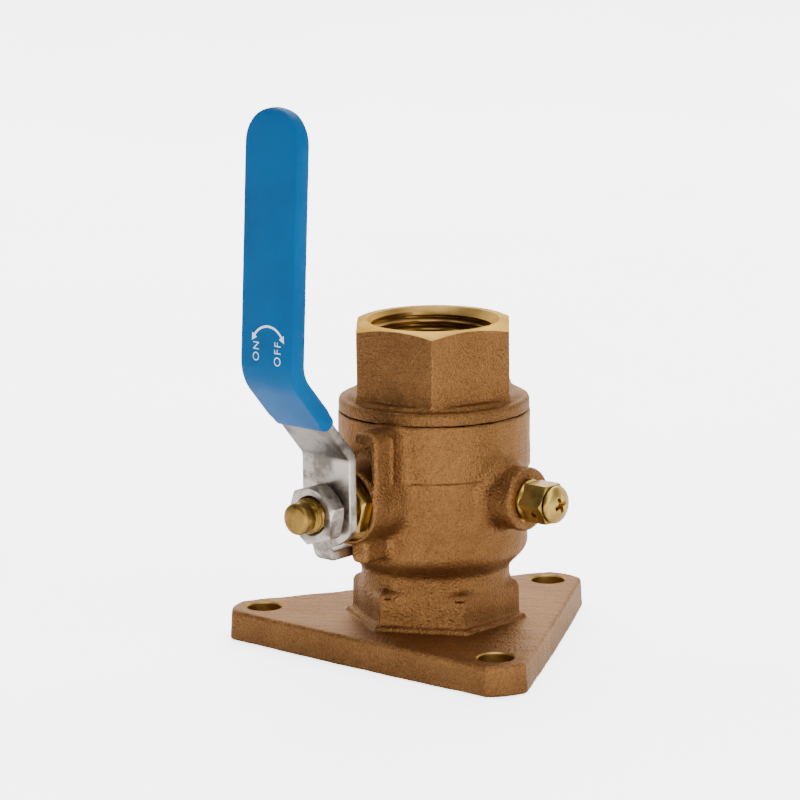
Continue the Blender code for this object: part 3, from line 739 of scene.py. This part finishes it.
def rounded_tip(half_width, extra):
    """(centre, half width) pairs round the lever's half-round end."""
    tip, bend = Vector(LEVER_TIP), Vector(UPPER_BEND)
    along = (tip - bend).normalized()
    centre = tip + along * (extra - half_width)
    out = []
    for degrees in (0, 8, 16, 24, 32, 40, 47, 54, 60, 66, 71, 76, 80, 84, 87, 89):
        turn = math.radians(degrees)
        out.append((centre + along * half_width * math.sin(turn), half_width * math.cos(turn)))
    return out


def make_plate(steel):
    half = PLATE_THICKNESS / 2
    out = LOWER_BEND[0]
    level = STEM_HEIGHT - 12.55
    fold, inner, above = (out, level), (31.2, level), (out, STEM_HEIGHT)
    stations = [(Vector((31.2, level)), -4.9, -0.6, half - 0.3, 0.4)]
    stations.append((Vector((31.5, level)), -5.0, -0.5, half, 0.4))
    for point in spread(bent((inner, fold, above), 2.6, 8), 2):
        stations.append((point, -5.0, -0.5, half, 0.4))
    widths = (
        (-9.3, -5.6, 1.6), (-8.8, -6.1, 2.9), (-8.2, -6.5, 4.0), (-7.5, -7.1, 5.3), (-6.8, -7.6, 6.3),
        (-6.0, -8.0, 7.2), (-5.2, -PLATE_HALF, 7.8), (-4.2, -PLATE_HALF, PLATE_HALF),
        (0, -PLATE_HALF, PLATE_HALF),
    )
    for height, left, right in widths:
        stations.append((Vector((out, STEM_HEIGHT + height)), left, right, half, 0.45))
    for point in spread(lever_line(), 3):
        stations.append((point, -PLATE_HALF, PLATE_HALF, half, 0.45))
    line_end = rounded_tip(PLATE_HALF, 0)
    for point in spread([stations[-1][0], line_end[0][0]], 8)[1:]:
        stations.append((point, -PLATE_HALF, PLATE_HALF, half, 0.45))
    for centre, reach in line_end[1:]:
        stations.append((centre, -reach, reach, half, 0.45))
    plate = skin_strip("lever_plate", stations, steel)
    flats = lathe("stem_hole", [(0, 36), (5.3, 36), (5.3, 44), (0, 44)], steel, 64, TO_STEM, double_d(4.75))
    boolean(plate, flats)
    soften(plate, 40)
    return plate


def double_d(limit):
    def radius_at(r, z, turn):
        side = abs(math.sin(turn))
        return min(r, limit / side) if side > 1e-6 else r
    return radius_at


def make_grip(blue):
    half = PLATE_THICKNESS / 2
    cover = PLATE_HALF + GRIP_WALL
    full = half + GRIP_WALL
    nose = 1.9
    slope_start, slope_end = Vector(LOWER_BEND), Vector(UPPER_BEND)
    edge = slope_start.lerp(slope_end, GRIP_SHARE)
    along = (slope_end - slope_start).normalized()
    stations = []
    for back, wall in ((0.0, 0.12), (0.12, 0.40), (0.35, 0.68), (0.8, 0.88), (1.6, 0.98), (2.4, 1.0)):
        reach = PLATE_HALF + wall
        stations.append((edge + along * back, -reach, reach, half + wall, 0.6 + wall * 1.35))
    bend = bent((LOWER_BEND, UPPER_BEND, LEVER_TIP), 10.0, 14)
    tip = rounded_tip(cover, GRIP_WALL)
    path = spread([stations[-1][0]] + bend + [tip[0][0]], 2.0)
    for point in path[1:]:
        stations.append((point, -cover, cover, full, 1.2))
    for centre, reach in tip[1:]:
        left = cover - math.sqrt(max(cover**2 - reach**2, 0))
        thick = full if left > nose else full - nose + math.sqrt(max(nose**2 - (nose - left) ** 2, 0))
        stations.append((centre, -reach, reach, max(thick, 0.45), 1.2))
    grip = skin_strip("lever_grip", stations, blue, 6)
    soften(grip, 50)
    return grip


# ---------------------------------------------------------------- small turned pieces

def worn_thread(r, z, turn):
    """Radius of the stem's thread, a little battered."""
    if abs(r - STEM_THREAD) > 1e-3:
        return r
    rough = 0.05 * math.sin(5 * turn + 3 * z) + 0.04 * math.sin(11 * turn - 7 * z)
    return r + rough - 0.55 * thread_shift(z, turn, STEM_PITCH, 0.25)


def make_stem(ochre):
    rows = thread_rows(43.2, 49.9, 12, STEM_PITCH)
    profile = [
        (0, 16.8), (4.2, 16.8), (4.2, 21.5), (7.6, 21.5), (7.6, 23.2), (5.0, 23.2), (5.0, 41.9), (4.4, 42.2),
    ]
    profile += [(STEM_THREAD, z) for z in rows]
    profile += [
        (3.8, 50.2), (3.8, 50.6), (4.08, 51.0), (4.12, 53.3), (3.95, 53.75), (3.6, 54.05), (2.6, 54.17),
        (0, 54.2),
    ]
    stem = lathe("stem_visible", profile, ochre, 64, TO_STEM, worn_thread)
    soften(stem, 40)
    return stem


def make_handle_nut(steel):
    nut = hex_piece("handle_nut_visible", steel, 14.29, (43.3, 48.3), 6.9, 17.3, TO_STEM, 0.75, True)
    bore = [(0, 42), (4.7, 42), (4.7, 47.6), (5.3, 48.4), (5.3, 50), (0, 50)]
    bore_out(nut, bore, TO_STEM, steel)
    bevel(nut, 0.16)
    soften(nut, 24)
    return nut


def make_lock_washer(steel):
    profile = [(4.75, 42.45), (6.25, 42.45), (6.4, 42.55), (6.4, 42.9), (6.25, 43.0), (4.75, 43.0)]
    washer = lathe("lock_washer_visible", profile, steel, 72, TO_STEM, ring=True)
    soften(washer, 40)
    return washer


def make_gland_nut(brass):
    nut = hex_piece("gland_nut_visible", brass, 14.2, (33.0, 36.6), 6.9, 14, TO_STEM, 0.7)
    neck = lathe("spigot", [(0, 31.4), (6.7, 31.4), (6.7, 33.4), (0, 33.4)], brass, 64, TO_STEM)
    boolean(nut, neck, "UNION")
    bore_out(nut, [(0, 30), (5.3, 30), (5.3, 38), (0, 38)], TO_STEM, brass)
    bevel(nut, 0.12)
    soften(nut, 24)
    return nut


def make_drain(brass, rubber):
    fitting = hex_piece("drain_fitting_visible", brass, 10.0, (33.2, DRAIN_END), 5.0, 30, TO_DRAIN, 0.45)
    base = lathe(
        "base", [(0, 22.5), (3.6, 22.5), (3.6, 32.1), (5.45, 32.1), (5.45, 33.0), (5.1, 33.6), (0, 33.6)],
        brass, 72, TO_DRAIN,
    )
    boolean(fitting, base, "UNION")
    bore_out(fitting, [(0, 39.1), (3.5, 39.1), (3.5, 42), (0, 42)], TO_DRAIN, brass)
    weep = Matrix.Translation((37.2, 0, STEM_HEIGHT)) @ Matrix.Rotation(math.radians(120), 4, "X")
    bore_out(fitting, [(0, 2.5), (0.75, 2.5), (0.75, 7.0), (0, 7.0)], weep, brass, 24)
    bevel(fitting, 0.13, 28)
    soften(fitting, 24)
    ring = [(2.85 + 0.35 * math.cos(t), 39.8 + 0.35 * math.sin(t)) for t in np.linspace(0, 6.283, 15)[:-1]]
    seal = lathe("drain_seal_visible", ring, rubber, 48, TO_DRAIN, ring=True)
    soften(seal, 60)
    head = DRAIN_END + 0.35
    profile = [
        (0, 31.5), (1.6, 31.5), (2.1, 32.2), (2.1, head), (4.62, head), (4.82, head + 0.1),
        (4.9, head + 0.35), (4.82, head + 0.65), (4.5, head + 1.0), (4.0, head + 1.32), (3.3, head + 1.62),
        (2.4, head + 1.87), (1.3, head + 2.01), (0, head + 2.05),
    ]
    screw = lathe("drain_screw_visible", profile, brass, 72, TO_DRAIN)
    for turn in (20, 110):
        boolean(screw, cross_arm(brass, turn, head))
    soften(screw, 35)
    return fitting, seal, screw


def cross_arm(finish, turn, head):
    """One tapered bar of the cross recess."""
    vertices = []
    for z, length, width in ((head + 0.35, 0.9, 0.34), (head + 2.6, 2.7, 0.72)):
        for sx, sy in ((-1, -1), (1, -1), (1, 1), (-1, 1)):
            vertices.append((sx * length, sy * width, z))
    faces = [(3, 2, 1, 0), (4, 5, 6, 7), (0, 1, 5, 4), (1, 2, 6, 5), (2, 3, 7, 6), (3, 0, 4, 7)]
    place = TO_DRAIN @ Matrix.Rotation(math.radians(turn), 4, "Z")
    return mesh_object("arm", vertices, faces, finish, place)


def make_ball(chrome):
    half = 19.5
    end = math.asin((BORE_RADIUS + 0.5) / half)
    profile = [(half * math.sin(a), -half * math.cos(a)) for a in np.linspace(end, math.pi - end, 49)]
    low = math.sqrt(half**2 - BORE_RADIUS**2) - 0.25
    profile = [(BORE_RADIUS, -low)] + profile + [(BORE_RADIUS, low)]
    place = Matrix.Translation((0, 0, STEM_HEIGHT))
    ball = lathe("ball_visible", profile, chrome, 96, place, ring=True)
    slot = mesh_box("slot", (-5, -22, -4.4), (5, -16.6, 4.4), chrome, place)
    boolean(ball, slot)
    soften(ball, 35)
    return ball


def mesh_box(name, low, high, finish, place):
    vertices = [(x, y, z) for z in (low[2], high[2]) for y in (low[1], high[1]) for x in (low[0], high[0])]
    faces = [(0, 2, 3, 1), (4, 5, 7, 6), (0, 1, 5, 4), (2, 6, 7, 3), (0, 4, 6, 2), (1, 3, 7, 5)]
    return mesh_object(name, vertices, faces, finish, place)


# ---------------------------------------------------------------- printed marks

def grip_frame(height):
    """Matrix from flat mark coordinates (x right, y up the lever) to the grip's front face."""
    tip, bend = Vector(LEVER_TIP), Vector(UPPER_BEND)
    along = (tip - bend).normalized()
    share = (height - bend.y) / along.y
    spot = bend + along * share
    normal = Vector((along.y, -along.x))
    spot = spot + normal * (PLATE_THICKNESS / 2 + GRIP_WALL + 0.02)
    right = Vector((1, 0, 0))
    up = Vector((0, -along.x, along.y))
    out = Vector((0, -normal.x, normal.y))
    place = Matrix((right, up, out)).transposed().to_4x4()
    place.translation = Vector((0, -spot.x, spot.y))
    return place


def print_word(name, word, x, height, size, turn, white):
    """One word, turned that many degrees on the grip: at 90 it runs up the lever."""
    text = bpy.data.curves.new(name, "FONT")
    text.body = word
    text.size = 1.0
    text.align_x = "CENTER"
    text.align_y = "CENTER"
    text.space_character = 1.22
    text.offset = -0.012
    holder = bpy.data.objects.new(name, text)
    bpy.context.scene.collection.objects.link(holder)
    bpy.context.view_layer.update()
    mesh = bpy.data.meshes.new_from_object(holder)
    bpy.data.objects.remove(holder)
    spot = Matrix.Translation((x, 0, 0)) @ Matrix.Rotation(math.radians(turn), 4, "Z")
    mesh.transform(Matrix.Scale(MM, 4) @ grip_frame(height) @ spot @ Matrix.Scale(size, 4))
    made = bpy.data.objects.new(name, mesh)
    bpy.context.scene.collection.objects.link(made)
    made.data.materials.clear()
    made.data.materials.append(white)
    return made


def print_arrow(x, height, radius, white):
    """Double-headed curved arrow above the two words."""
    half, first, last = 0.28, 36, 146
    vertices, faces = [], []
    steps = 20
    for index in range(steps + 1):
        turn = math.radians(first + (last - first) * index / steps)
        for reach in (radius - half, radius + half):
            vertices.append((x + reach * math.cos(turn), reach * math.sin(turn), 0))
    faces += [(2 * i, 2 * i + 1, 2 * i + 3, 2 * i + 2) for i in range(steps)]
    for degrees, way in ((first, -1), (last, 1)):
        turn = math.radians(degrees)
        outward = Vector((math.cos(turn), math.sin(turn), 0))
        ahead = Vector((-outward.y, outward.x, 0)) * way
        root = Vector((x, 0, 0)) + outward * radius
        start = len(vertices)
        vertices += [root + outward * 0.95, root - outward * 0.95, root + ahead * 1.7 - outward * 0.12]
        faces.append((start, start + 1, start + 2) if way < 0 else (start + 1, start, start + 2))
    return mesh_object("mark_arrow", [tuple(v) for v in vertices], faces, white, grip_frame(height))


# ---------------------------------------------------------------- stage

def make_stage():
    n = Nodes("pale_floor")
    n.link(n.ramp(n.noise(9, 3), ((0.3, 0.80), (0.7, 0.86))), n.shader.inputs["Base Color"])
    n.shader.inputs["Roughness"].default_value = 0.9
    n.shader.inputs["Emission Color"].default_value = (1, 1, 1, 1)
    n.shader.inputs["Emission Strength"].default_value = 3.2
    steps = 24
    profile = [(-9.0, 0.0), (0.9, 0.0)]
    for index in range(1, steps + 1):
        turn = math.pi / 2 * index / steps
        profile.append((0.9 + 0.7 * math.sin(turn), 0.7 - 0.7 * math.cos(turn)))
    profile.append((1.6, 3.5))
    spin = Matrix.Rotation(math.radians(CAMERA_AZIMUTH), 3, "Z")
    vertices, faces = [], []
    for back, up in profile:
        for side in (-9, 9):
            vertices.append(spin @ Vector((side, back, up)))
    for index in range(len(profile) - 1):
        faces.append((2 * index, 2 * index + 1, 2 * index + 3, 2 * index + 2))
    mesh = bpy.data.meshes.new("backdrop")
    mesh.from_pydata(vertices, [], faces)
    mesh.materials.append(n.material)
    floor = bpy.data.objects.new("backdrop", mesh)
    bpy.context.scene.collection.objects.link(floor)
    mesh.polygons.foreach_set("use_smooth", [True] * len(mesh.polygons))
    floor.location.z = -0.0002
    lit = bpy.data.collections.new("lit_by_backdrop")
    lit.objects.link(floor)
    floor.light_linking.receiver_collection = lit


def make_camera():
    az, el, roll = math.radians(CAMERA_AZIMUTH), math.radians(11.98), math.radians(-0.65)
    right = Vector((math.cos(az), math.sin(az), 0))
    back = Vector((math.sin(az) * math.cos(el), -math.cos(az) * math.cos(el), math.sin(el)))
    up = back.cross(right)
    aim = right * -8.85 * MM + Vector((0, 0, 65.78 * MM))
    turned_right = right * math.cos(roll) + up * math.sin(roll)
    turned_up = -right * math.sin(roll) + up * math.cos(roll)
    place = Matrix((turned_right, turned_up, back)).transposed().to_4x4()
    place.translation = aim + back * 1.1086
    lens = bpy.data.cameras.new("camera")
    lens.sensor_width = 36
    lens.lens = 191.0061
    lens.clip_start, lens.clip_end = 0.01, 20
    camera = bpy.data.objects.new("camera", lens)
    camera.matrix_world = place
    bpy.context.scene.collection.objects.link(camera)
    bpy.context.scene.camera = camera


def area_light(name, azimuth, elevation, distance, size, power):
    """A light aimed at the middle of the valve."""
    light = bpy.data.lights.new(name, "AREA")
    light.shape = "RECTANGLE"
    light.size, light.size_y = size
    light.energy = power
    lamp = bpy.data.objects.new(name, light)
    a, e = math.radians(azimuth), math.radians(elevation)
    way = Vector((math.sin(a) * math.cos(e), -math.cos(a) * math.cos(e), math.sin(e)))
    lamp.location = Vector((0, 0, 0.06)) + way * distance
    lamp.rotation_euler = way.to_track_quat("Z", "Y").to_euler()
    bpy.context.scene.collection.objects.link(lamp)
    return lamp


def make_lights():
    area_light("key", 80, 30, 1.5, (0.9, 0.9), 8)
    area_light("front_fill", 62, 4, 1.9, (1.8, 0.5), 11)
    bounce = area_light("floor_bounce", 20, -11, 0.28, (0.34, 0.05), 0.42)
    bounce.visible_camera = False
    area_light("top", 60, 80, 1.4, (1.3, 1.3), 16)
    area_light("rim", 215, 40, 1.6, (0.9, 0.9), 7)
    world = bpy.data.worlds.new("studio")
    bpy.context.scene.world = world
    world.use_nodes = True
    back = world.node_tree.nodes["Background"]
    back.inputs["Color"].default_value = (0.94, 0.95, 0.97, 1)
    back.inputs["Strength"].default_value = 0.20


# ---------------------------------------------------------------- assembly

def place_piece(piece, body, nodes):
    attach(piece, body)
    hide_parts(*nodes)


def build():
    step = CASTING_STEP
    bronze, machined = cast_bronze(), machined_bronze()
    brass = brass_finish("bright_brass", (0.58, 0.385, 0.100), (0.26, 0.155, 0.036), 0.32, 0.03)
    ochre = brass_finish("stem_brass", (0.27, 0.16, 0.038), (0.10, 0.055, 0.012), 0.40, 0.22)
    steel, blue = stainless(), vinyl()
    chrome = plain("ball_chrome", (0.72, 0.72, 0.74), 0.12, 1.0)
    ptfe = plain("ptfe", (0.82, 0.82, 0.79), 0.4)
    rubber = plain("seal_rubber", (0.012, 0.012, 0.012), 0.55)
    white = plain("printed_white", (0.80, 0.84, 0.88), 0.4)
    place_piece(make_body(bronze, machined, step), "valve_body", ["body"])
    place_piece(make_tailpiece(bronze, machined, step * 0.9), "valve_body", ["tailpiece"])
    place_piece(make_gland_nut(brass), "valve_body", ["gland_nut"])
    fitting, seal, screw = make_drain(brass, rubber)
    place_piece(fitting, "valve_body", ["drain_fitting"])
    place_piece(seal, "drain_seal", ["drain_screw_o_ring"])
    place_piece(screw, "drain_screw", ["drain_screw"])
    place_piece(make_plate(steel), "lever", ["handle"])
    place_piece(make_grip(blue), "lever", ["handle_grip"])
    place_piece(make_stem(ochre), "lever", ["stem"])
    place_piece(make_handle_nut(steel), "lever", ["handle_nut"])
    place_piece(make_lock_washer(steel), "lever", ["lock_washer"])
    place_piece(make_ball(chrome), "ball", ["ball"])
    for word, x, height, size in (("ON", -3.4, 88.2, 3.0), ("OFF", 3.9, 88.1, 3.15)):
        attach(print_word("mark_" + word.lower(), word, x, height, size, 90, white), "lever")
    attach(print_arrow(0.5, 89.2, 5.55, white), "lever")
    for name, finish in (
        ("seat_lower", ptfe), ("seat_upper", ptfe), ("packing_ring_lower", ptfe),
        ("packing_ring_middle", ptfe), ("packing_ring_upper", ptfe), ("thrust_washer", ptfe),
        ("gland_follower", brass), ("tailpiece_o_ring", rubber),
    ):
        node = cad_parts[name]
        node.data.materials.clear()
        node.data.materials.append(finish)


build()
make_stage()
make_camera()
make_lights()
bpy.context.view_layer.update()
